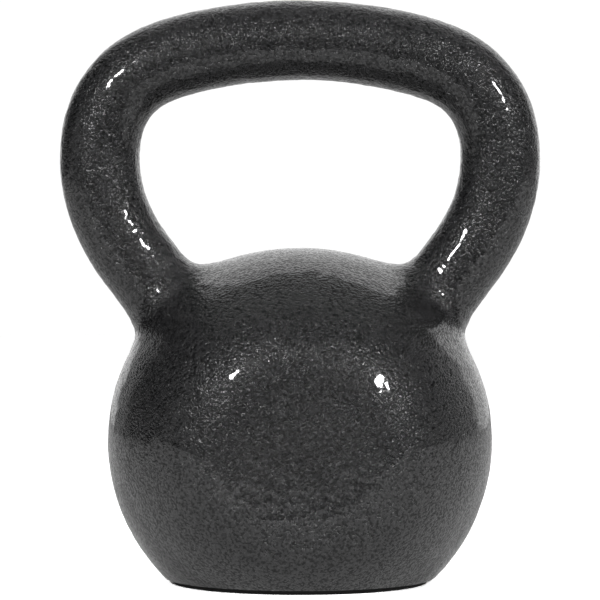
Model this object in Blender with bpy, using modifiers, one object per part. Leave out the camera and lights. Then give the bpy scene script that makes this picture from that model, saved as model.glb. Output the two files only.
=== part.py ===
"""A cast-iron kettlebell with a hammertone enamel coat and a rubber floor pad.

The ball, both horns and the grip are one iron casting, poured in one mould. The enamel is a thin
skin over all of it but the underside, and the pad is a rubber disc seated in the underside.

Metres, +Z up. The origin is on the floor under the middle of the ball, +X runs along the grip and
+Y points to the back. The shape is the same on both sides of the XZ and YZ planes, so its cage
is a quarter of it, built about the middle of the ball.
"""

import math

import bmesh
import bpy
from mathutils import Vector

# Ball: a sphere, cut off flat underneath and flattened to a round face at the front and the back.
BALL_RADIUS = 0.0787
BALL_CENTRE_HEIGHT = 0.0580
FACE_RADIUS = 0.0392
FACE_EDGE_ROUND = 0.0100  # width of the soft edge round each flat face

# Handle: a round bar along three arcs and a straight, from the middle of the grip to the ball.
BAR_RADIUS = 0.0163
GRIP_HEIGHT = 0.2220  # of the bar's centreline in the middle of the grip
GRIP_ARC_RADIUS = 0.1840
GRIP_ARC = math.radians(17.7)
SHOULDER_ARC_RADIUS = 0.0370
SHOULDER_ARC = math.radians(64.8)
HORN_STRAIGHT = 0.0240
HORN_ROOT_ANGLE = math.radians(43.4)  # from the top of the ball to where the centreline lands

# Horn fillets: how far each reaches from the bar's surface over the ball, and up the bar.
FILLET_OVER_TOP = 0.0175
FILLET_OUTSIDE = 0.0064
FILLET_SIDES = 0.0125
FILLET_UP_BAR = 0.0160

# Layers
ENAMEL_THICKNESS = 0.0005
CLEARANCE = 0.0003

# Rubber pad under the ball
PAD_THICKNESS = 0.0035
PAD_STANDOFF = 0.0019  # the height of it that shows under the casting
PAD_INSET = 0.0032  # from the casting's rim to the pad's edge
PAD_EDGE_ROUND = 0.0006
PAD_SIDES = 48

# Cage
SUBDIVISION = 1
BAR_SIDES = 8
BAR_RINGS = 9
MERIDIANS_BELOW = 5  # cage steps from the outside of the horn root to the bottom of the ball
BALL_GROUP = 0  # index of the vertex group of the points that stay on the sphere

# Colours: base colour, roughness and metallic value
ENAMEL_LOOK = ((0.018, 0.018, 0.019), 0.24, 0.0)
IRON_LOOK = ((0.070, 0.066, 0.062), 0.62, 0.85)
RUBBER_LOOK = ((0.010, 0.010, 0.010), 0.85, 0.0)


def clear_scene():
    for obj in list(bpy.data.objects):
        bpy.data.objects.remove(obj)


def new_collection(name):
    collection = bpy.data.collections.new(name)
    bpy.context.scene.collection.children.link(collection)
    return collection


def move_to(collection, obj):
    for owner in list(obj.users_collection):
        owner.objects.unlink(obj)
    collection.objects.link(obj)


def new_material(name, look):
    colour, roughness, metallic = look
    material = bpy.data.materials.new(name)
    material.use_nodes = True
    shader = material.node_tree.nodes["Principled BSDF"]
    shader.inputs["Base Color"].default_value = (*colour, 1.0)
    shader.inputs["Roughness"].default_value = roughness
    shader.inputs["Metallic"].default_value = metallic
    return material


# ---------------------------------------------------------------- sizes that follow from others


def root_side_angle():
    """From the middle plane to where a horn's fillet ends at the front and the back."""
    return (BAR_RADIUS + FILLET_SIDES) / BALL_RADIUS


def pull_in(step):
    """The share of its radius that a ring of cage points, this angle apart, keeps when subdivided."""
    return (2 + math.cos(step)) / 3


def cage_ball_radius():
    return BALL_RADIUS / pull_in(root_side_angle()) ** 2


def face_depth():
    """From the middle of the ball to each flat face."""
    return math.sqrt(BALL_RADIUS**2 - FACE_RADIUS**2)


def pad_radius():
    """The rim is where the flat underside cuts the sphere, and the pad keeps inside it."""
    cut_below_centre = BALL_CENTRE_HEIGHT - PAD_STANDOFF
    return math.sqrt(BALL_RADIUS**2 - cut_below_centre**2) - PAD_INSET


# ---------------------------------------------------------------- the bar's centreline


def towards_window(direction):
    return Vector((direction.z, 0.0, -direction.x))


def along(arcs, distance):
    """Point and direction this far from the middle of the grip, straight on after the last arc."""
    left = abs(distance)
    heading = 0.0
    point = Vector((0.0, 0.0, GRIP_HEIGHT - BALL_CENTRE_HEIGHT))
    for radius, angle in arcs:
        turn = min(angle, left / radius)
        point.x += radius * (math.sin(heading + turn) - math.sin(heading))
        point.z -= radius * (math.cos(heading) - math.cos(heading + turn))
        heading += turn
        left -= radius * turn
    direction = Vector((math.cos(heading), 0.0, -math.sin(heading)))
    point += direction * left
    if distance < 0:
        point.x = -point.x
        direction.z = -direction.z
    return point, direction


def length_of(arcs):
    return sum(radius * angle for radius, angle in arcs)


def handle_arcs():
    """Radius and angle of the three arcs. The horn's arc ends one straight away from its root."""
    arcs = [(GRIP_ARC_RADIUS, GRIP_ARC), (SHOULDER_ARC_RADIUS, SHOULDER_ARC)]
    start, direction = along(arcs, length_of(arcs))
    root = Vector((math.sin(HORN_ROOT_ANGLE), 0.0, math.cos(HORN_ROOT_ANGLE))) * BALL_RADIUS
    to_root = root - start
    inwards = towards_window(direction)
    radius = (to_root.length_squared - HORN_STRAIGHT**2) / (2 * to_root.dot(inwards))
    from_arc_centre = to_root - inwards * radius
    heading = math.atan2(radius, HORN_STRAIGHT) - math.atan2(from_arc_centre.z, from_arc_centre.x)
    arcs.append((radius, heading - GRIP_ARC - SHOULDER_ARC))
    return arcs


# ---------------------------------------------------------------- the cage


def half_section(arcs, distance, radius):
    """The back half of a ring of points round the bar, from its window side to its outer side."""
    centre, direction = along(arcs, distance)
    steps = BAR_SIDES // 2
    ring = []
    for step in range(steps + 1):
        angle = math.pi * step / steps
        spoke = towards_window(direction) * math.cos(angle)
        if 0 < step < steps:
            spoke.y = math.sin(angle)
        ring.append(centre + spoke * radius)
    return ring


def slide_to_sphere(point, direction, radius):
    """Where a line from this point enters a sphere about the middle of the ball."""
    ahead = point.dot(direction)
    depth = ahead * ahead - point.length_squared + radius * radius
    return point - direction * (ahead + math.sqrt(depth))


def handle_rings():
    """Half rings of cage points from the horn's root on the ball to the middle of the grip."""
    arcs = handle_arcs()
    ring_radius = BAR_RADIUS / pull_in(2 * math.pi / BAR_SIDES)
    _, lean = along(arcs, length_of(arcs))
    meeting = []
    for corner in half_section(arcs, length_of(arcs), ring_radius):
        meeting.append(slide_to_sphere(corner, lean, cage_ball_radius()))

    rings = [meeting]
    spacing = (length_of(arcs) + HORN_STRAIGHT - FILLET_UP_BAR) / BAR_RINGS
    for number in range(BAR_RINGS, -1, -1):
        before = half_section(arcs, spacing * (number - 1), ring_radius)
        here = half_section(arcs, spacing * number, ring_radius)
        after = half_section(arcs, spacing * (number + 1), ring_radius)
        ring = []
        for last, corner, following in zip(before, here, after):
            pulled_in_by = (last - 2 * corner + following) / 6
            ring.append(corner - pulled_in_by)
        rings.append(ring)
    for point in rings[-1]:
        point.x = 0.0
    return rings


def ball_rings():
    """Radius about the Y axis and depth of each ring of the ball, from its middle to its face."""
    side = root_side_angle()
    face = math.acos(FACE_RADIUS / BALL_RADIUS)
    cage_ball = cage_ball_radius()
    rings = []
    for angle in (0.0, side, (side + face) / 2):
        rings.append((cage_ball * math.cos(angle), cage_ball * math.sin(angle)))
    rings.append((cage_ball * math.cos(face), face_depth()))
    rings.append((FACE_RADIUS - FACE_EDGE_ROUND, face_depth()))
    return rings


def meridian_angles():
    """Angles from the top of the ball: the middle, three that hold the horn's root, the rest."""
    inside = HORN_ROOT_ANGLE - (BAR_RADIUS + FILLET_OVER_TOP) / BALL_RADIUS
    outside = HORN_ROOT_ANGLE + (BAR_RADIUS + FILLET_OUTSIDE) / BALL_RADIUS
    angles = [0.0, inside, (inside + outside) / 2, outside]
    for step in range(1, MERIDIANS_BELOW + 1):
        angles.append(outside + (math.pi - outside) * step / MERIDIANS_BELOW)
    return angles


def skin(cage, first, second):
    """Faces between two rows of the same number of points."""
    for left in range(len(first) - 1):
        cage.faces.new((first[left], first[left + 1], second[left + 1], second[left]))


def cage_mesh():
    """A quarter of the outer surface, x and y above zero, as a coarse open cage."""
    cage = bmesh.new()
    weights = cage.verts.layers.deform.verify()
    angles = meridian_angles()
    rows = []
    for radius, depth in ball_rings():
        row = []
        for angle in angles:
            x = radius * math.sin(angle) if angle < angles[-1] else 0.0
            vert = cage.verts.new((x, depth, radius * math.cos(angle)))
            in_saddle = depth == 0.0 and angle <= angles[1]
            on_sphere = depth < face_depth() and not in_saddle
            vert[weights][BALL_GROUP] = 1.0 if on_sphere else 0.0
            row.append(vert)
        rows.append(row)
    for lower, upper in zip(rows, rows[1:]):
        skin(cage, lower, upper)
    pole = cage.verts.new((0.0, face_depth(), 0.0))
    for left, right in zip(rows[-1], rows[-1][1:]):
        cage.faces.new((left, right, pole))

    middle, side = rows[0], rows[1]
    edge = [middle[1], side[1], side[2], side[3], middle[3]]
    bmesh.ops.delete(cage, geom=list(middle[2].link_faces), context="FACES")
    for corners in handle_rings():
        ring = [cage.verts.new(corner) for corner in corners]
        skin(cage, edge, ring)
        edge = ring
    loose = [vert for vert in cage.verts if not vert.link_faces]
    bmesh.ops.delete(cage, geom=loose, context="VERTS")
    bmesh.ops.recalc_face_normals(cage, faces=cage.faces)

    mesh = bpy.data.meshes.new("casting_cage")
    cage.to_mesh(mesh)
    cage.free()
    mesh.shade_smooth()
    return mesh


# ---------------------------------------------------------------- the solids


def add_surface(name, material, collection):
    """The whole outer surface: the quarter cage mirrored, subdivided and rounded to the sphere."""
    obj = bpy.data.objects.new(name, cage_mesh())
    obj.location.z = BALL_CENTRE_HEIGHT
    obj.data.materials.append(material)
    obj.vertex_groups.new(name="ball")
    collection.objects.link(obj)

    mirror = obj.modifiers.new("Mirror", "MIRROR")
    mirror.use_axis = (True, True, False)
    mirror.merge_threshold = 0.00001
    smooth = obj.modifiers.new("Subdivision", "SUBSURF")
    smooth.levels = SUBDIVISION
    smooth.render_levels = SUBDIVISION
    sphere = obj.modifiers.new("Sphere", "CAST")
    sphere.cast_type = "SPHERE"
    sphere.factor = 1.0
    sphere.use_radius_as_size = False
    sphere.size = BALL_RADIUS
    sphere.vertex_group = "ball"
    return obj


def cut(obj, cutter):
    difference = obj.modifiers.new(cutter.name, "BOOLEAN")
    difference.operation = "DIFFERENCE"
    difference.solver = "EXACT"
    difference.object = cutter


def add_iron_casting(material, collection, floor_cutter, recess_cutter):
    casting = add_surface("iron_casting", material, collection)
    under_enamel = casting.modifiers.new("Under enamel", "DISPLACE")
    under_enamel.direction = "NORMAL"
    under_enamel.mid_level = 0.0
    under_enamel.strength = -(ENAMEL_THICKNESS + CLEARANCE)
    cut(casting, floor_cutter)
    cut(casting, recess_cutter)


def add_enamel_coat(material, collection, floor_cutter):
    coat = add_surface("enamel_coat", material, collection)
    thickness = coat.modifiers.new("Thickness", "SOLIDIFY")
    thickness.thickness = ENAMEL_THICKNESS
    thickness.offset = -1.0
    cut(coat, floor_cutter)


def add_disc(name, radius, bottom, top, collection):
    bpy.ops.mesh.primitive_cylinder_add(
        vertices=PAD_SIDES, radius=radius, depth=top - bottom, location=(0, 0, (top + bottom) / 2)
    )
    disc = bpy.context.object
    disc.name = name
    move_to(collection, disc)
    return disc


def add_rubber_pad(material, collection):
    pad = add_disc("rubber_base_pad", pad_radius(), 0.0, PAD_THICKNESS, collection)
    pad.data.materials.append(material)
    edges = pad.modifiers.new("Round edges", "BEVEL")
    edges.width = PAD_EDGE_ROUND
    edges.segments = 2
    edges.limit_method = "ANGLE"
    pad.data.shade_smooth()
    pad.data.set_sharp_from_angle(angle=math.radians(35))


# ---------------------------------------------------------------- the cutters


def hide(cutter):
    cutter.hide_render = True
    cutter.display_type = "WIRE"
    return cutter


def add_floor_cutter(collection):
    """A block that takes away all that is lower than the casting's flat underside."""
    side = 3 * BALL_RADIUS
    bpy.ops.mesh.primitive_cube_add(size=side, location=(0, 0, PAD_STANDOFF - side / 2))
    cutter = bpy.context.object
    cutter.name = "floor_cutter"
    move_to(collection, cutter)
    return hide(cutter)


def add_recess_cutter(collection):
    """The shallow seat that the pad fits in, with clearance all round."""
    top = PAD_THICKNESS + CLEARANCE
    return hide(add_disc("recess_cutter", pad_radius() + CLEARANCE, -top, top, collection))


def main():
    clear_scene()
    kettlebell = new_collection("kettlebell")
    cutters = new_collection("cutters")
    floor_cutter = add_floor_cutter(cutters)
    recess_cutter = add_recess_cutter(cutters)
    iron = new_material("cast iron", IRON_LOOK)
    enamel = new_material("hammertone enamel", ENAMEL_LOOK)
    rubber = new_material("black rubber", RUBBER_LOOK)
    add_iron_casting(iron, kettlebell, floor_cutter, recess_cutter)
    add_enamel_coat(enamel, kettlebell, floor_cutter)
    add_rubber_pad(rubber, kettlebell)


main()
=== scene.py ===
"""A cast-iron kettlebell: hammertone enamel over one iron casting, with a rubber floor pad.

Laid out as an add-on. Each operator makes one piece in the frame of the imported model, in metres,
+Z up, with the floor at zero, +X along the grip and -Y towards the viewer.
"""

import math

import bmesh
import bpy
from bpy.props import FloatProperty, FloatVectorProperty, PointerProperty
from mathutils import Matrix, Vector


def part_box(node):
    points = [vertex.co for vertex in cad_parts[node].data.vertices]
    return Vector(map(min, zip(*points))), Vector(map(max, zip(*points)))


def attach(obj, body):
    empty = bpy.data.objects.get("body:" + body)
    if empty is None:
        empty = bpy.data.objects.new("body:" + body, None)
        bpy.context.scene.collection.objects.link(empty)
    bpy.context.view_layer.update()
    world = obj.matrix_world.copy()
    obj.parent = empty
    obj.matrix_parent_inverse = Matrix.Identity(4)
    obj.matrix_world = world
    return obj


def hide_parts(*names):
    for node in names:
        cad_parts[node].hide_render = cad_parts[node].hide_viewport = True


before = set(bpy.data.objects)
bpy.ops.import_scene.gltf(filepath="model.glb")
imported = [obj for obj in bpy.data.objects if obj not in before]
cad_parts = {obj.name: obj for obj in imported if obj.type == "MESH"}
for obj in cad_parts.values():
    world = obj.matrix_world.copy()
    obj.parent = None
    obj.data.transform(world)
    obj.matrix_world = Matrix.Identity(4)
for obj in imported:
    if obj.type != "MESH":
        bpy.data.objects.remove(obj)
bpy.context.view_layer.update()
COAT_LOW, COAT_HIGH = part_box("enamel_coat")
PAD_LOW, PAD_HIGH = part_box("rubber_base_pad")

bl_info = {
    "name": "Kettlebell",
    "version": (1, 0, 0),
    "blender": (4, 5, 0),
    "location": "3D View > Sidebar > Kettlebell",
    "description": "Builds a cast-iron kettlebell with a hammertone coat and a rubber pad",
    "category": "Add Mesh",
}

# The cage that the casting's surface is subdivided from.
SPHERE_SEGMENTS = 16
SPHERE_RINGS = 10
FRONT_ROWS = 3  # rows from the middle of the ball that stay on the sphere
BAR_SIDES = 8
BAR_RINGS = 9  # steps from the horn's fillet to the middle of the grip

# Levels of subdivision.
SKIN_LEVELS = 4
CORE_LEVELS = 3
INNER_WALL_LEVELS = 2

# The pad, and the rings pressed in its underside, in metres.
PAD_SIDES = 160
PAD_RINGS = 4
PAD_RING_WIDTH = 0.0045
PAD_RING_SLOPE = 0.0006
PAD_RING_DEPTH = 0.0004

NEAR = 0.00002  # metres within which two places are the same
NEAR_ANGLE = 0.001  # the same for two angles, in radians
FLAT = 0.99  # the least that a level face's normal points up or down
SMOOTH_ANGLE = math.radians(35)
TURN = -1  # which way transform.rotate turns with no window

# Grains per metre, the depth of their relief in metres, and the span of the noise they come from.
ENAMEL_GRAIN = 2600
SAND_GRAIN = 900
SAND_DEPTH = 0.0002
RUBBER_BLOOM = 120
RUBBER_STIPPLE = 1800
STIPPLE_DEPTH = 0.00008
GRAIN_SPAN = (0.3, 0.7)

# The studio, in metres and watts.
SOFTBOX_AIM = (0, 0, 0.12)
SOFTBOX_DISTANCE = 2.8
SOFTBOX_SIZE = 0.30
SOFTBOX_POWER = 55
CAMERA_PLACE = (0, -1.35, 0.14)
CAMERA_AIM = (0, 0, 0.1156)
CAMERA_LENS = 197.6  # millimetres
FLOOR_SIZE = (6, 4, 1)
FLOOR_MIDDLE = (0, 1.55, 0)

# The backdrop's edges, as slopes away from straight back, each with the half width that it fades
# over, counted outwards.
BACKDROP_LEFT = (-0.6, -0.06)
BACKDROP_RIGHT = (1.2, 0.10)
BACKDROP_TOP = (1.67, 0.08)

# How bright the room is, next to a backdrop of 1.
ROOM_IN_FRONT = 0.20
ROOM_LEVEL = 0.02
ROOM_OVERHEAD = 0.22
BACKDROP_TO_THE_EYE = 1.05


class KettlebellSizes(bpy.types.PropertyGroup):
    """Sizes of the casting, its coat and its pad."""

    ball_radius: FloatProperty(
        name="Ball radius", description="Radius of the ball", default=0.0787, unit="LENGTH"
    )
    ball_height: FloatProperty(
        name="Ball height",
        description="Height of the middle of the ball",
        default=0.0580,
        unit="LENGTH",
    )
    face_radius: FloatProperty(
        name="Face radius",
        description="Radius of the flat round face at the front and the back",
        default=0.0392,
        unit="LENGTH",
    )
    face_edge: FloatProperty(
        name="Face edge",
        description="Width of the soft edge round each flat face",
        default=0.0100,
        unit="LENGTH",
    )
    bar_radius: FloatProperty(
        name="Bar radius", description="Radius of the handle's bar", default=0.0163, unit="LENGTH"
    )
    grip_arc_radius: FloatProperty(
        name="Grip arc radius",
        description="Radius that the grip is bent to",
        default=0.1840,
        unit="LENGTH",
    )
    grip_arc: FloatProperty(
        name="Grip arc",
        description="Angle that each half of the grip turns through",
        default=math.radians(17.7),
        subtype="ANGLE",
    )
    shoulder_arc_radius: FloatProperty(
        name="Shoulder radius",
        description="Radius that the handle's shoulders are bent to",
        default=0.0370,
        unit="LENGTH",
    )
    shoulder_arc: FloatProperty(
        name="Shoulder arc",
        description="Angle that each shoulder turns through",
        default=math.radians(64.8),
        subtype="ANGLE",
    )
    horn_straight: FloatProperty(
        name="Horn straight",
        description="Straight length of each horn above the ball",
        default=0.0240,
        unit="LENGTH",
    )
    horn_root: FloatProperty(
        name="Horn root",
        description="Angle from the top of the ball to the middle of each horn's root",
        default=math.radians(43.4),
        subtype="ANGLE",
    )
    fillet_over_top: FloatProperty(
        name="Fillet over the top",
        description="Reach of each horn's fillet over the top of the ball",
        default=0.0175,
        unit="LENGTH",
    )
    fillet_outside: FloatProperty(
        name="Fillet outside",
        description="Reach of each horn's fillet down the side of the ball",
        default=0.0064,
        unit="LENGTH",
    )
    fillet_sides: FloatProperty(
        name="Fillet at the sides",
        description="Reach of each horn's fillet to the front and the back",
        default=0.0125,
        unit="LENGTH",
    )
    fillet_up_bar: FloatProperty(
        name="Fillet up the bar",
        description="Reach of each horn's fillet up the bar",
        default=0.0160,
        unit="LENGTH",
    )
    coat: FloatProperty(
        name="Coat thickness",
        description="Thickness of the enamel",
        default=0.0005,
        unit="LENGTH",
    )
    clearance: FloatProperty(
        name="Clearance",
        description="Gap between one piece and the next",
        default=0.0003,
        unit="LENGTH",
    )
    waviness: FloatProperty(
        name="Waviness",
        description="Height of the slow unevenness that sand casting leaves",
        default=0.00030,
        unit="LENGTH",
    )
    wave_length: FloatProperty(
        name="Wave length",
        description="Width of that unevenness",
        default=0.016,
        unit="LENGTH",
    )
    hammer_depth: FloatProperty(
        name="Hammer depth",
        description="Height of the hammertone's relief",
        default=0.00034,
        unit="LENGTH",
    )
    hammer_width: FloatProperty(
        name="Hammer width",
        description="Width of one lump of that relief",
        default=0.0028,
        unit="LENGTH",
    )
    pad_edge: FloatProperty(
        name="Pad edge",
        description="Radius of the pad's edges",
        default=0.0006,
        unit="LENGTH",
    )


class KettlebellFinish(bpy.types.PropertyGroup):
    """Colours and grain of the finishes."""

    enamel: FloatVectorProperty(
        name="Enamel",
        description="Colour of the hammertone enamel",
        default=(0.013, 0.013, 0.0135),
        subtype="COLOR",
        size=3,
        min=0.0,
        max=1.0,
    )
    iron: FloatVectorProperty(
        name="Iron",
        description="Colour of the bare cast iron",
        default=(0.070, 0.066, 0.062),
        subtype="COLOR",
        size=3,
        min=0.0,
        max=1.0,
    )
    rubber: FloatVectorProperty(
        name="Rubber",
        description="Colour of the floor pad",
        default=(0.010, 0.010, 0.010),
        subtype="COLOR",
        size=3,
        min=0.0,
        max=1.0,
    )
    dimple: FloatProperty(
        name="Dimple",
        description="Width of one dimple of the hammertone",
        default=0.0011,
        unit="LENGTH",
    )
    dimple_depth: FloatProperty(
        name="Dimple depth",
        description="Depth of the dimples",
        default=0.00011,
        unit="LENGTH",
    )


# ---------------------------------------------------------------- selecting and moving


def start_clean():
    """Leaves edit mode and deselects everything."""
    if bpy.context.object and bpy.context.object.mode != "OBJECT":
        bpy.ops.object.mode_set(mode="OBJECT")
    bpy.ops.object.select_all(action="DESELECT")


def edit(select_mode="VERT"):
    """Opens the active object for editing with nothing selected."""
    bpy.ops.object.mode_set(mode="EDIT")
    bpy.ops.mesh.select_mode(type=select_mode)
    bpy.ops.mesh.select_all(action="DESELECT")


def done_editing():
    bpy.ops.object.mode_set(mode="OBJECT")


def select_verts(test):
    """Selects the vertices that pass the test, and what lies between them."""
    mesh = bmesh.from_edit_mesh(bpy.context.object.data)
    bpy.ops.mesh.select_all(action="DESELECT")
    chosen = 0
    for vert in mesh.verts:
        if test(vert.co):
            vert.select = True
            chosen += 1
    mesh.select_flush_mode()
    bmesh.update_edit_mesh(bpy.context.object.data)
    if not chosen:
        raise RuntimeError("nothing lies where a selection was expected")


def select_faces(test):
    """Selects the faces that pass the test of their middle and normal."""
    mesh = bmesh.from_edit_mesh(bpy.context.object.data)
    bpy.ops.mesh.select_all(action="DESELECT")
    chosen = 0
    for face in mesh.faces:
        if test(face.calc_center_median(), face.normal):
            face.select = True
            chosen += 1
    mesh.select_flush(True)
    bmesh.update_edit_mesh(bpy.context.object.data)
    if not chosen:
        raise RuntimeError("no face lies where one was expected")


def modify(kind, **settings):
    """Adds a modifier to the active object and applies it."""
    bpy.ops.object.modifier_add(type=kind)
    modifier = bpy.context.object.modifiers[-1]
    for name, value in settings.items():
        setattr(modifier, name, value)
    bpy.ops.object.modifier_apply(modifier=modifier.name)


# ---------------------------------------------------------------- the handle's line


def pull_in(step):
    """The share of its radius that a ring keeps when subdivided, its corners this angle apart."""
    return (2 + math.cos(step)) / 3


def towards_window(direction):
    """Square to the bar, on the side of the window."""
    return Vector((direction.z, 0.0, -direction.x))


def along(sizes, arcs, distance):
    """Point and direction this far from the middle of the grip, straight on after the last arc."""
    left = abs(distance)
    heading = 0.0
    point = Vector((0.0, 0.0, COAT_HIGH.z - sizes.bar_radius - sizes.ball_height))
    for radius, angle in arcs:
        turn = min(angle, left / radius)
        point.x += radius * (math.sin(heading + turn) - math.sin(heading))
        point.z -= radius * (math.cos(heading) - math.cos(heading + turn))
        heading += turn
        left -= radius * turn
    direction = Vector((math.cos(heading), 0.0, -math.sin(heading)))
    point += direction * left
    if distance < 0:
        point.x = -point.x
        direction.z = -direction.z
    return point, direction


def length_of(arcs):
    return sum(radius * angle for radius, angle in arcs)


def handle_arcs(sizes):
    """Radius and angle of the grip's, the shoulder's and the horn's arc."""
    arcs = [
        (sizes.grip_arc_radius, sizes.grip_arc),
        (sizes.shoulder_arc_radius, sizes.shoulder_arc),
    ]
    start, direction = along(sizes, arcs, length_of(arcs))
    root = Vector((math.sin(sizes.horn_root), 0.0, math.cos(sizes.horn_root))) * sizes.ball_radius
    to_root = root - start
    inwards = towards_window(direction)
    straight = sizes.horn_straight
    radius = (to_root.length_squared - straight**2) / (2 * to_root.dot(inwards))
    from_arc_centre = to_root - inwards * radius
    heading = math.atan2(radius, straight) - math.atan2(from_arc_centre.z, from_arc_centre.x)
    arcs.append((radius, heading - sizes.grip_arc - sizes.shoulder_arc))
    return arcs


def half_ring(sizes, arcs, distance, radius):
    """The back half of a ring round the bar, from its window side to its outer side."""
    centre, direction = along(sizes, arcs, distance)
    steps = BAR_SIDES // 2
    ring = []
    for step in range(steps + 1):
        angle = math.pi * step / steps
        spoke = towards_window(direction) * math.cos(angle)
        if 0 < step < steps:
            spoke.y = math.sin(angle)
        ring.append(centre + spoke * radius)
    return ring


def slide_to_sphere(point, direction, radius):
    """Slides the point along the direction to where that line first meets the sphere."""
    ahead = point.dot(direction)
    depth = ahead * ahead - point.length_squared + radius * radius
    return point - direction * (ahead + math.sqrt(depth))


def handle_rings(sizes, cage_radius):
    """Half rings of corners from the horn's root on the ball to the middle of the grip."""
    arcs = handle_arcs(sizes)
    ring_radius = sizes.bar_radius / pull_in(2 * math.pi / BAR_SIDES)
    _, lean = along(sizes, arcs, length_of(arcs))
    at_ball = half_ring(sizes, arcs, length_of(arcs), ring_radius)
    rings = [[slide_to_sphere(corner, lean, cage_radius) for corner in at_ball]]
    spacing = (length_of(arcs) + sizes.horn_straight - sizes.fillet_up_bar) / BAR_RINGS
    for number in range(BAR_RINGS, -1, -1):
        before = half_ring(sizes, arcs, spacing * (number - 1), ring_radius)
        here = half_ring(sizes, arcs, spacing * number, ring_radius)
        after = half_ring(sizes, arcs, spacing * (number + 1), ring_radius)
        ring = []
        for last, corner, following in zip(before, here, after):
            ring.append(corner - (last - 2 * corner + following) / 6)
        rings.append(ring)
    for point in rings[-1]:
        point.x = 0.0
    return rings


# ---------------------------------------------------------------- the casting's outer surface


def ball_rows(sizes, side_angle, cage_radius):
    """Radius about the Y axis and depth of each ring of the ball, from its middle to its face."""
    face_depth = COAT_HIGH.y
    face_angle = math.acos(sizes.face_radius / sizes.ball_radius)
    rows = []
    for angle in (0.0, side_angle, (side_angle + face_angle) / 2):
        rows.append((cage_radius * math.cos(angle), cage_radius * math.sin(angle)))
    rows.append((cage_radius * math.cos(face_angle), face_depth))
    rows.append((sizes.face_radius - sizes.face_edge, face_depth))
    return rows


def meridians(sizes):
    """Angle of each meridian from the top of the ball: three hold the horn's root."""
    inside = sizes.horn_root - (sizes.bar_radius + sizes.fillet_over_top) / sizes.ball_radius
    outside = sizes.horn_root + (sizes.bar_radius + sizes.fillet_outside) / sizes.ball_radius
    angles = [0.0, inside, (inside + outside) / 2, outside]
    below = SPHERE_SEGMENTS // 2 + 1 - len(angles)
    for step in range(1, below + 1):
        angles.append(outside + (math.pi - outside) * step / below)
    return angles


def from_top(place):
    """Angle from straight up, about the Y axis, the same on either side."""
    return math.atan2(abs(place.x), place.z)


def off_axis(place):
    """Distance from the Y axis."""
    return math.hypot(place.x, place.z)


def add_quarter_ball(sizes, rows, angles, cage_radius):
    """A quarter of a sphere with its pole on the Y axis, its rings and meridians put in place."""
    bpy.ops.mesh.primitive_uv_sphere_add(
        segments=SPHERE_SEGMENTS,
        ring_count=SPHERE_RINGS,
        radius=cage_radius,
        calc_uvs=False,
        rotation=(math.pi / 2, 0, 0),
    )
    bpy.ops.object.transform_apply(location=False, rotation=True, scale=False)
    edit()
    for side in ((1, 0, 0), (0, 1, 0)):
        bpy.ops.mesh.select_all(action="SELECT")
        bpy.ops.mesh.bisect(plane_co=(0, 0, 0), plane_no=side, clear_inner=True)
    for number, (radius, depth) in enumerate(rows):
        latitude = number * math.pi / SPHERE_RINGS
        old_radius, old_depth = cage_radius * math.cos(latitude), cage_radius * math.sin(latitude)
        select_verts(
            lambda place: abs(place.y - old_depth) < NEAR
            and abs(off_axis(place) - old_radius) < NEAR
        )
        share = radius / old_radius
        bpy.ops.transform.resize(value=(share, 1, share), center_override=(0, 0, 0))
        bpy.ops.transform.translate(value=(0, depth - old_depth, 0))
    select_verts(lambda place: off_axis(place) < NEAR)
    bpy.ops.transform.translate(value=(0, rows[-1][1] - cage_radius, 0))
    for number, angle in enumerate(angles):
        old_angle = number * 2 * math.pi / SPHERE_SEGMENTS
        select_verts(
            lambda place: off_axis(place) > NEAR
            and abs(from_top(place) - old_angle) < NEAR_ANGLE
        )
        bpy.ops.transform.rotate(
            value=TURN * (angle - old_angle), orient_axis="Y", center_override=(0, 0, 0)
        )


def open_horn_root(rows, angles):
    """Takes away the two faces where the horn grows out, and selects the edge that is left."""
    side_depth = rows[1][1]
    select_faces(
        lambda middle, normal: middle.y < side_depth and angles[1] < from_top(middle) < angles[3]
    )
    bpy.ops.mesh.delete(type="FACE")
    edge = []
    for row, number in ((0, 1), (1, 1), (1, 2), (1, 3), (0, 3)):
        radius, depth = rows[row]
        angle = angles[number]
        edge.append(Vector((radius * math.sin(angle), depth, radius * math.cos(angle))))
    select_verts(lambda place: any((place - corner).length < NEAR for corner in edge))
    return edge


def extrude_to(edge, ring):
    """Extrudes the selected edge and moves each new corner to its place in the next ring."""
    bpy.ops.mesh.extrude_region_move()
    mesh = bmesh.from_edit_mesh(bpy.context.object.data)
    fresh = [vert.index for vert in mesh.verts if vert.select]
    for start, end in zip(edge, ring):
        mesh = bmesh.from_edit_mesh(bpy.context.object.data)
        mesh.verts.ensure_lookup_table()
        corner = min(fresh, key=lambda index: (mesh.verts[index].co - start).length)
        fresh.remove(corner)
        bpy.ops.mesh.select_all(action="DESELECT")
        mesh.verts[corner].select = True
        bmesh.update_edit_mesh(bpy.context.object.data)
        bpy.ops.transform.translate(value=end - start)
    select_verts(lambda place: any((place - corner).length < NEAR for corner in ring))


def group_sphere_points(rows, angles):
    """Puts the ball's points that stay on the sphere in a group, all but the saddle's."""

    def stays(place):
        for row, (radius, depth) in enumerate(rows[:FRONT_ROWS]):
            on_row = abs(place.y - depth) < NEAR and abs(off_axis(place) - radius) < NEAR
            on_meridian = any(abs(from_top(place) - angle) < NEAR_ANGLE for angle in angles)
            in_saddle = row == 0 and from_top(place) < angles[1] + NEAR_ANGLE
            if on_row and on_meridian and not in_saddle:
                return True
        return False

    select_verts(stays)
    bpy.ops.object.vertex_group_add()
    bpy.context.tool_settings.vertex_group_weight = 1.0
    bpy.ops.object.vertex_group_assign()
    return bpy.context.object.vertex_groups.active.name


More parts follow.
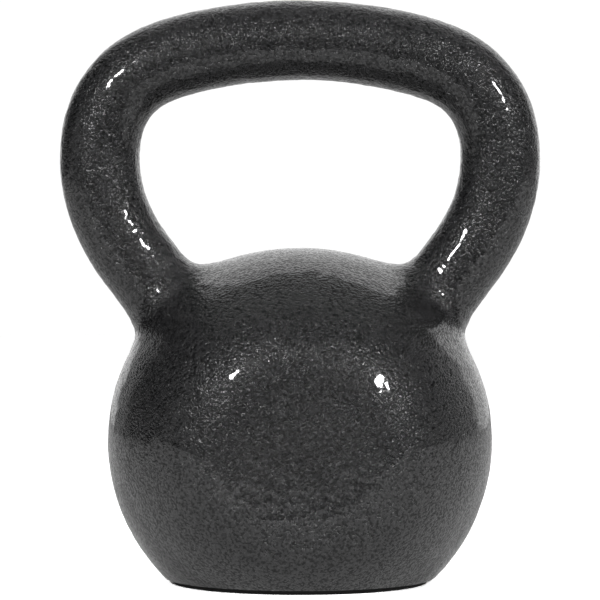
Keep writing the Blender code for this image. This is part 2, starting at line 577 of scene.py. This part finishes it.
def add_surface(name, sizes, levels):
    """The whole outer surface as one smooth open-ended skin about the middle of the ball."""
    start_clean()
    side_angle = (sizes.bar_radius + sizes.fillet_sides) / sizes.ball_radius
    cage_radius = sizes.ball_radius / pull_in(side_angle) ** 2
    rows = ball_rows(sizes, side_angle, cage_radius)
    angles = meridians(sizes)
    add_quarter_ball(sizes, rows, angles, cage_radius)
    piece = bpy.context.object
    piece.name = name
    piece.data.name = name
    edge = open_horn_root(rows, angles)
    for ring in handle_rings(sizes, cage_radius):
        extrude_to(edge, ring)
        edge = ring
    group = group_sphere_points(rows, angles)
    done_editing()
    modify("MIRROR", use_axis=(True, True, False), merge_threshold=NEAR)
    edit()
    bpy.ops.mesh.select_all(action="SELECT")
    bpy.ops.mesh.remove_doubles(threshold=NEAR)
    bpy.ops.mesh.normals_make_consistent(inside=False)
    done_editing()
    modify("SUBSURF", levels=levels, render_levels=levels)
    modify(
        "CAST",
        cast_type="SPHERE",
        factor=1.0,
        use_radius_as_size=False,
        size=sizes.ball_radius,
        vertex_group=group,
    )
    bpy.ops.transform.translate(value=(0, 0, sizes.ball_height))
    bpy.ops.object.transform_apply(location=True, rotation=False, scale=False)
    return piece


def roughen(name, width, depth):
    """Raises and lowers the surface by half this depth, in soft lumps of this width."""
    lumps = bpy.data.textures.new(name, "CLOUDS")
    lumps.noise_scale = width
    lumps.noise_depth = 1
    modify(
        "DISPLACE",
        texture=lumps,
        texture_coords="LOCAL",
        direction="NORMAL",
        mid_level=0.5,
        strength=depth,
    )


def cut_flat_underneath(height, fill):
    """Cuts off what lies below this height, and closes the cut where fill is true."""
    edit()
    bpy.ops.mesh.select_all(action="SELECT")
    bpy.ops.mesh.bisect(
        plane_co=(0, 0, height), plane_no=(0, 0, 1), use_fill=fill, clear_inner=True
    )
    done_editing()


# ---------------------------------------------------------------- finishes


class Nodes:
    """Adds nodes to a tree and links them."""

    def __init__(self, tree):
        self.tree = tree

    def feed(self, inputs, values):
        """Links each value that is a socket to the input of its name, and sets the others."""
        for name, value in values.items():
            if isinstance(value, bpy.types.NodeSocket):
                self.tree.links.new(value, inputs[name])
            else:
                inputs[name].default_value = value

    def add(self, kind, values=None, **settings):
        made = self.tree.nodes.new(kind)
        for name, value in settings.items():
            setattr(made, name, value)
        self.feed(made.inputs, values or {})
        return made

    def maths(self, operation, *values):
        return self.add("ShaderNodeMath", dict(enumerate(values)), operation=operation).outputs[0]

    def noise(self, place, per_metre, detail, roughness):
        values = {"Vector": place, "Scale": per_metre, "Detail": detail, "Roughness": roughness}
        return self.add("ShaderNodeTexNoise", values).outputs["Fac"]

    def spread(self, value, start, end, low, high, **settings):
        """Maps the span from start to end to the span from low to high."""
        values = {"Value": value, "From Min": start, "From Max": end, "To Min": low, "To Max": high}
        return self.add("ShaderNodeMapRange", values, **settings).outputs["Result"]

    def shades(self, value, colour, darkest, lightest):
        """A ramp between two multiples of the colour, each given as its position and multiple."""
        ramp = self.add("ShaderNodeValToRGB", {"Fac": value})
        for stop, (position, multiple) in zip(ramp.color_ramp.elements, (darkest, lightest)):
            stop.position = position
            stop.color = (*[channel * multiple for channel in colour], 1)
        return ramp.outputs["Color"]

    def bump(self, height, distance):
        values = {"Height": height, "Strength": 1.0, "Distance": distance}
        return self.add("ShaderNodeBump", values).outputs["Normal"]


def new_group(name, outputs):
    """A node group that reads a place and a fineness, and gives these numbers."""
    tree = bpy.data.node_groups.new(name, "ShaderNodeTree")
    tree.interface.new_socket("Vector", in_out="INPUT", socket_type="NodeSocketVector")
    tree.interface.new_socket("Per Metre", in_out="INPUT", socket_type="NodeSocketFloat")
    for label in outputs:
        tree.interface.new_socket(label, in_out="OUTPUT", socket_type="NodeSocketFloat")
    nodes = Nodes(tree)
    return nodes, nodes.add("NodeGroupInput").outputs, nodes.add("NodeGroupOutput").inputs


def hammered_group():
    """Flat islands with soft grooves between them, and a mottle of darker and lighter flake."""
    nodes, given, result = new_group("Hammered skin", ("Height", "Islands", "Mottle"))
    peel = nodes.noise(given["Vector"], given["Per Metre"], 1.0, 0.5)
    islands = nodes.spread(peel, 0.40, 0.56, 0.0, 1.0, interpolation_type="SMOOTHSTEP")
    swell = nodes.maths("MULTIPLY", peel, 5.0)
    height = nodes.maths("ADD", islands, swell)
    coarser = nodes.maths("MULTIPLY", given["Per Metre"], 0.6)
    flake = nodes.noise(given["Vector"], coarser, 3.0, 0.9)
    mottle = nodes.maths("MULTIPLY_ADD", islands, 0.12, flake)
    nodes.feed(result, {"Height": height, "Islands": islands, "Mottle": mottle})
    return nodes.tree


def grain_group():
    """Fine random grain, made once for all the materials."""
    if "Fine grain" in bpy.data.node_groups:
        return bpy.data.node_groups["Fine grain"]
    nodes, given, result = new_group("Fine grain", ("Grain",))
    nodes.feed(result, {"Grain": nodes.noise(given["Vector"], given["Per Metre"], 4.0, 0.65)})
    return nodes.tree


def new_material(name):
    """A material, its nodes, the inputs of its shader and the place on the piece."""
    material = bpy.data.materials.new(name)
    material.use_nodes = True
    nodes = Nodes(material.node_tree)
    place = nodes.add("ShaderNodeTexCoord").outputs["Object"]
    return material, nodes, material.node_tree.nodes["Principled BSDF"].inputs, place


def placed(nodes, group, place, per_metre):
    """Puts a group in the material and gives its outputs."""
    values = {"Vector": place, "Per Metre": per_metre}
    return nodes.add("ShaderNodeGroup", values, node_tree=group).outputs


def enamel_material(finish):
    """A dented enamel under a clear film that is thickest on the islands."""
    material, nodes, shader, place = new_material("hammertone enamel")
    skin = placed(nodes, hammered_group(), place, 1 / finish.dimple)
    grain = placed(nodes, grain_group(), place, ENAMEL_GRAIN)
    nodes.feed(
        shader,
        {
            "Base Color": nodes.shades(skin["Mottle"], finish.enamel, (0.43, 0.05), (0.70, 1.7)),
            "Roughness": nodes.spread(grain["Grain"], *GRAIN_SPAN, 0.12, 0.21),
            "Coat Weight": nodes.spread(skin["Islands"], 0.0, 1.0, 0.25, 0.85),
            "Normal": nodes.bump(skin["Height"], finish.dimple_depth),
            "Specular IOR Level": 0.30,
            "Coat Roughness": 0.06,
        },
    )
    return material


def iron_material(finish):
    """Bare iron with the grain of its sand mould."""
    material, nodes, shader, place = new_material("cast iron")
    sand = placed(nodes, grain_group(), place, SAND_GRAIN)
    nodes.feed(
        shader,
        {
            "Base Color": nodes.shades(sand["Grain"], finish.iron, (0.30, 0.6), (0.72, 1.5)),
            "Roughness": nodes.spread(sand["Grain"], *GRAIN_SPAN, 0.5, 0.8),
            "Normal": nodes.bump(sand["Grain"], SAND_DEPTH),
            "Metallic": 0.85,
        },
    )
    return material


def rubber_material(finish):
    """Matte rubber with a pale bloom and a fine stipple."""
    material, nodes, shader, place = new_material("black rubber")
    bloom = placed(nodes, grain_group(), place, RUBBER_BLOOM)
    stipple = placed(nodes, grain_group(), place, RUBBER_STIPPLE)
    nodes.feed(
        shader,
        {
            "Base Color": nodes.shades(bloom["Grain"], finish.rubber, (0.35, 0.8), (0.75, 1.8)),
            "Roughness": nodes.spread(bloom["Grain"], *GRAIN_SPAN, 0.78, 0.92),
            "Normal": nodes.bump(stipple["Grain"], STIPPLE_DEPTH),
        },
    )
    return material


def finish_piece(piece, material, node):
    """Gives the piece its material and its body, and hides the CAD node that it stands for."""
    piece.data.materials.clear()
    piece.data.materials.append(material)
    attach(piece, "root")
    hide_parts(node)


# ---------------------------------------------------------------- operators


class KETTLEBELL_OT_enamel_coat(bpy.types.Operator):
    """Makes the hammertone enamel coat over the ball, the horns and the grip"""

    bl_idname = "kettlebell.enamel_coat"
    bl_label = "Enamel Coat"

    def execute(self, context):
        sizes = context.scene.kettlebell_sizes
        inner_wall = add_surface("coat_inner_wall", sizes, INNER_WALL_LEVELS)
        modify("DISPLACE", direction="NORMAL", mid_level=0.0, strength=-sizes.coat)
        cut_flat_underneath(COAT_LOW.z, fill=False)
        edit()
        bpy.ops.mesh.select_all(action="SELECT")
        bpy.ops.mesh.flip_normals()
        done_editing()
        coat = add_surface("hammertone_coat", sizes, SKIN_LEVELS)
        roughen("casting swell", sizes.wave_length, sizes.waviness)
        roughen("hammering", sizes.hammer_width, sizes.hammer_depth)
        cut_flat_underneath(COAT_LOW.z, fill=False)
        inner_wall.select_set(True)
        bpy.ops.object.join()
        edit()
        bpy.ops.mesh.select_non_manifold(
            use_wire=False, use_boundary=True, use_multi_face=False, use_non_contiguous=False
        )
        bpy.ops.mesh.bridge_edge_loops()
        done_editing()
        bpy.ops.object.shade_smooth_by_angle(angle=SMOOTH_ANGLE)
        finish_piece(
            coat,
            enamel_material(context.scene.kettlebell_finish),
            "enamel_coat",
        )
        return {"FINISHED"}


class KETTLEBELL_OT_iron_casting(bpy.types.Operator):
    """Makes the iron casting under the enamel, with the seat for its pad"""

    bl_idname = "kettlebell.iron_casting"
    bl_label = "Iron Casting"

    def execute(self, context):
        sizes = context.scene.kettlebell_sizes
        casting = add_surface("cast_body", sizes, CORE_LEVELS)
        modify(
            "DISPLACE",
            direction="NORMAL",
            mid_level=0.0,
            strength=-(sizes.coat + sizes.clearance + sizes.waviness / 2),
        )
        cut_flat_underneath(COAT_LOW.z, fill=True)
        edit("FACE")
        select_faces(lambda middle, normal: normal.z < -FLAT and middle.z < COAT_LOW.z + NEAR)
        mesh = bmesh.from_edit_mesh(casting.data)
        rim = max(vert.co.x for vert in mesh.verts if abs(vert.co.z - COAT_LOW.z) < NEAR)
        seat = PAD_HIGH.x + sizes.clearance
        bpy.ops.mesh.inset(thickness=rim - seat)
        up = PAD_HIGH.z + sizes.clearance - COAT_LOW.z
        bpy.ops.mesh.extrude_region_move(TRANSFORM_OT_translate={"value": (0, 0, up)})
        done_editing()
        bpy.ops.object.shade_smooth_by_angle(angle=SMOOTH_ANGLE)
        finish_piece(
            casting, iron_material(context.scene.kettlebell_finish), "iron_casting"
        )
        return {"FINISHED"}


class KETTLEBELL_OT_rubber_pad(bpy.types.Operator):
    """Makes the rubber floor pad that sits in the casting's underside"""

    bl_idname = "kettlebell.rubber_pad"
    bl_label = "Rubber Pad"

    def execute(self, context):
        sizes = context.scene.kettlebell_sizes
        start_clean()
        bpy.ops.mesh.primitive_cylinder_add(
            vertices=PAD_SIDES,
            radius=PAD_HIGH.x,
            depth=PAD_HIGH.z - PAD_LOW.z,
            location=(0, 0, (PAD_HIGH.z + PAD_LOW.z) / 2),
            calc_uvs=False,
        )
        pad = bpy.context.object
        pad.name = "floor_pad"
        pad.data.name = "floor_pad"
        bpy.ops.object.transform_apply(location=True, rotation=False, scale=False)
        edit("FACE")
        select_faces(lambda middle, normal: abs(normal.z) > FLAT)
        bpy.ops.mesh.region_to_loop()
        bpy.ops.mesh.bevel(offset=sizes.pad_edge, segments=3, affect="EDGES")
        bpy.ops.mesh.select_mode(type="FACE")
        for ring in range(PAD_RINGS):
            select_faces(
                lambda middle, normal: normal.z < -FLAT and middle.xy.length < NEAR
            )
            bpy.ops.mesh.inset(thickness=PAD_RING_WIDTH)
            bpy.ops.mesh.inset(thickness=PAD_RING_SLOPE)
            lift = PAD_RING_DEPTH if ring % 2 == 0 else -PAD_RING_DEPTH
            bpy.ops.transform.translate(value=(0, 0, lift))
        done_editing()
        bpy.ops.object.shade_smooth_by_angle(angle=SMOOTH_ANGLE)
        finish_piece(
            pad,
            rubber_material(context.scene.kettlebell_finish),
            "rubber_base_pad",
        )
        return {"FINISHED"}


# ---------------------------------------------------------------- studio


def look_at(item, target):
    item.rotation_euler = (Vector(target) - item.location).to_track_quat("-Z", "Y").to_euler()


def add_softbox(name, azimuth, elevation):
    """A square soft light; the azimuth is counted from the viewer, to the right."""
    turn, rise = math.radians(azimuth), math.radians(elevation)
    away = Vector(
        (math.sin(turn) * math.cos(rise), -math.cos(turn) * math.cos(rise), math.sin(rise))
    )
    place = Vector(SOFTBOX_AIM) + away * SOFTBOX_DISTANCE
    bpy.ops.object.light_add(type="AREA", location=place)
    light = bpy.context.object
    light.name = name
    light.data.shape = "SQUARE"
    light.data.size = SOFTBOX_SIZE
    light.data.energy = SOFTBOX_POWER
    look_at(light, SOFTBOX_AIM)


def add_floor():
    """A pale floor round the object and far behind it, brighter to the eye than to the object."""
    bpy.ops.mesh.primitive_plane_add(size=1, calc_uvs=False)
    floor = bpy.context.object
    floor.name = "floor"
    edit()
    bpy.ops.mesh.select_all(action="SELECT")
    bpy.ops.transform.resize(value=FLOOR_SIZE)
    bpy.ops.transform.translate(value=FLOOR_MIDDLE)
    done_editing()
    material, nodes, shader, _ = new_material("floor")
    nodes.feed(shader, {"Base Color": (0.82, 0.82, 0.82, 1), "Roughness": 0.9})
    plain = nodes.tree.nodes["Principled BSDF"].outputs[0]
    bright = nodes.add("ShaderNodeBsdfDiffuse", {"Color": (0.95, 0.95, 0.95, 1)}).outputs[0]
    twice = nodes.add("ShaderNodeAddShader", {0: bright, 1: bright}).outputs[0]
    to_eye = nodes.add("ShaderNodeAddShader", {0: plain, 1: twice}).outputs[0]
    seen = nodes.add("ShaderNodeLightPath").outputs["Is Camera Ray"]
    mix = nodes.add("ShaderNodeMixShader", {0: seen, 1: plain, 2: to_eye}).outputs[0]
    nodes.feed(nodes.tree.nodes["Material Output"].inputs, {"Surface": mix})
    floor.data.materials.append(material)


def fade(nodes, value, start, end, low, high):
    """Goes softly from low to high as the value goes from start to end."""
    return nodes.spread(value, start, end, low, high, interpolation_type="SMOOTHSTEP")


def mixed(nodes, share, first, second):
    """The first number where the share is 0, the second where it is 1."""
    values = {0: share, 2: first, 3: second}
    return nodes.add("ShaderNodeMix", values, data_type="FLOAT").outputs[0]


def add_surroundings():
    """White behind the object, a dim room in front of it, and plain white to the eye."""
    world = bpy.data.worlds.new("studio")
    bpy.context.scene.world = world
    world.use_nodes = True
    nodes = Nodes(world.node_tree)
    nodes.tree.nodes.clear()
    way = nodes.add("ShaderNodeTexCoord").outputs["Generated"]
    parts = nodes.add("ShaderNodeSeparateXYZ", {0: way}).outputs
    sideways = nodes.maths("DIVIDE", parts["X"], parts["Y"])
    upwards = nodes.maths("DIVIDE", parts["Z"], parts["Y"])
    backdrop = nodes.maths("GREATER_THAN", parts["Y"], 0.0)
    for slope, (edge, soft) in (
        (sideways, BACKDROP_LEFT),
        (sideways, BACKDROP_RIGHT),
        (upwards, BACKDROP_TOP),
    ):
        inside = fade(nodes, slope, edge - soft, edge + soft, 1.0, 0.0)
        backdrop = nodes.maths("MULTIPLY", backdrop, inside)
    front = fade(nodes, parts["Y"], 0.15, -0.25, 0.0, ROOM_IN_FRONT)
    overhead = fade(nodes, parts["Z"], 0.6, 0.95, ROOM_LEVEL, ROOM_OVERHEAD)
    lit = nodes.maths("MAXIMUM", front, overhead)
    room = nodes.maths("MULTIPLY", lit, nodes.maths("GREATER_THAN", parts["Z"], 0.0))
    light = mixed(nodes, backdrop, room, 1.0)
    seen = nodes.add("ShaderNodeLightPath").outputs["Is Camera Ray"]
    strength = mixed(nodes, seen, light, BACKDROP_TO_THE_EYE)
    glow = nodes.add("ShaderNodeBackground", {"Color": (1, 1, 1, 1), "Strength": strength})
    nodes.add("ShaderNodeOutputWorld", {"Surface": glow.outputs[0]})


class KETTLEBELL_OT_stage(bpy.types.Operator):
    """Makes the floor, the studio light and the camera"""

    bl_idname = "kettlebell.stage"
    bl_label = "Stage"

    def execute(self, context):
        start_clean()
        add_floor()
        start_clean()
        add_surroundings()
        add_softbox("softbox_left", azimuth=-30, elevation=25)
        add_softbox("softbox_right", azimuth=41, elevation=23)
        bpy.ops.object.camera_add(location=CAMERA_PLACE)
        camera = bpy.context.object
        camera.name = "camera"
        camera.data.lens = CAMERA_LENS
        look_at(camera, CAMERA_AIM)
        context.scene.camera = camera
        context.scene.view_settings.view_transform = "Standard"
        return {"FINISHED"}


class KETTLEBELL_PT_panel(bpy.types.Panel):
    """Lists the kettlebell's pieces, sizes and finishes"""

    bl_idname = "KETTLEBELL_PT_panel"
    bl_label = "Kettlebell"
    bl_space_type = "VIEW_3D"
    bl_region_type = "UI"
    bl_category = "Kettlebell"

    def draw(self, context):
        for step in STEPS:
            self.layout.operator(step.bl_idname)
        for group in (context.scene.kettlebell_sizes, context.scene.kettlebell_finish):
            box = self.layout.box()
            for name in group.bl_rna.properties.keys():
                if name not in ("rna_type", "name"):
                    box.prop(group, name)


STEPS = (
    KETTLEBELL_OT_iron_casting,
    KETTLEBELL_OT_enamel_coat,
    KETTLEBELL_OT_rubber_pad,
    KETTLEBELL_OT_stage,
)
CLASSES = (KettlebellSizes, KettlebellFinish, *STEPS, KETTLEBELL_PT_panel)


def register():
    for item in CLASSES:
        bpy.utils.register_class(item)
    bpy.types.Scene.kettlebell_sizes = PointerProperty(type=KettlebellSizes)
    bpy.types.Scene.kettlebell_finish = PointerProperty(type=KettlebellFinish)


def unregister():
    del bpy.types.Scene.kettlebell_finish
    del bpy.types.Scene.kettlebell_sizes
    for item in reversed(CLASSES):
        bpy.utils.unregister_class(item)


def main():
    register()
    bpy.ops.kettlebell.iron_casting()
    bpy.ops.kettlebell.enamel_coat()
    bpy.ops.kettlebell.rubber_pad()
    bpy.ops.kettlebell.stage()


if __name__ == "__main__":
    main()
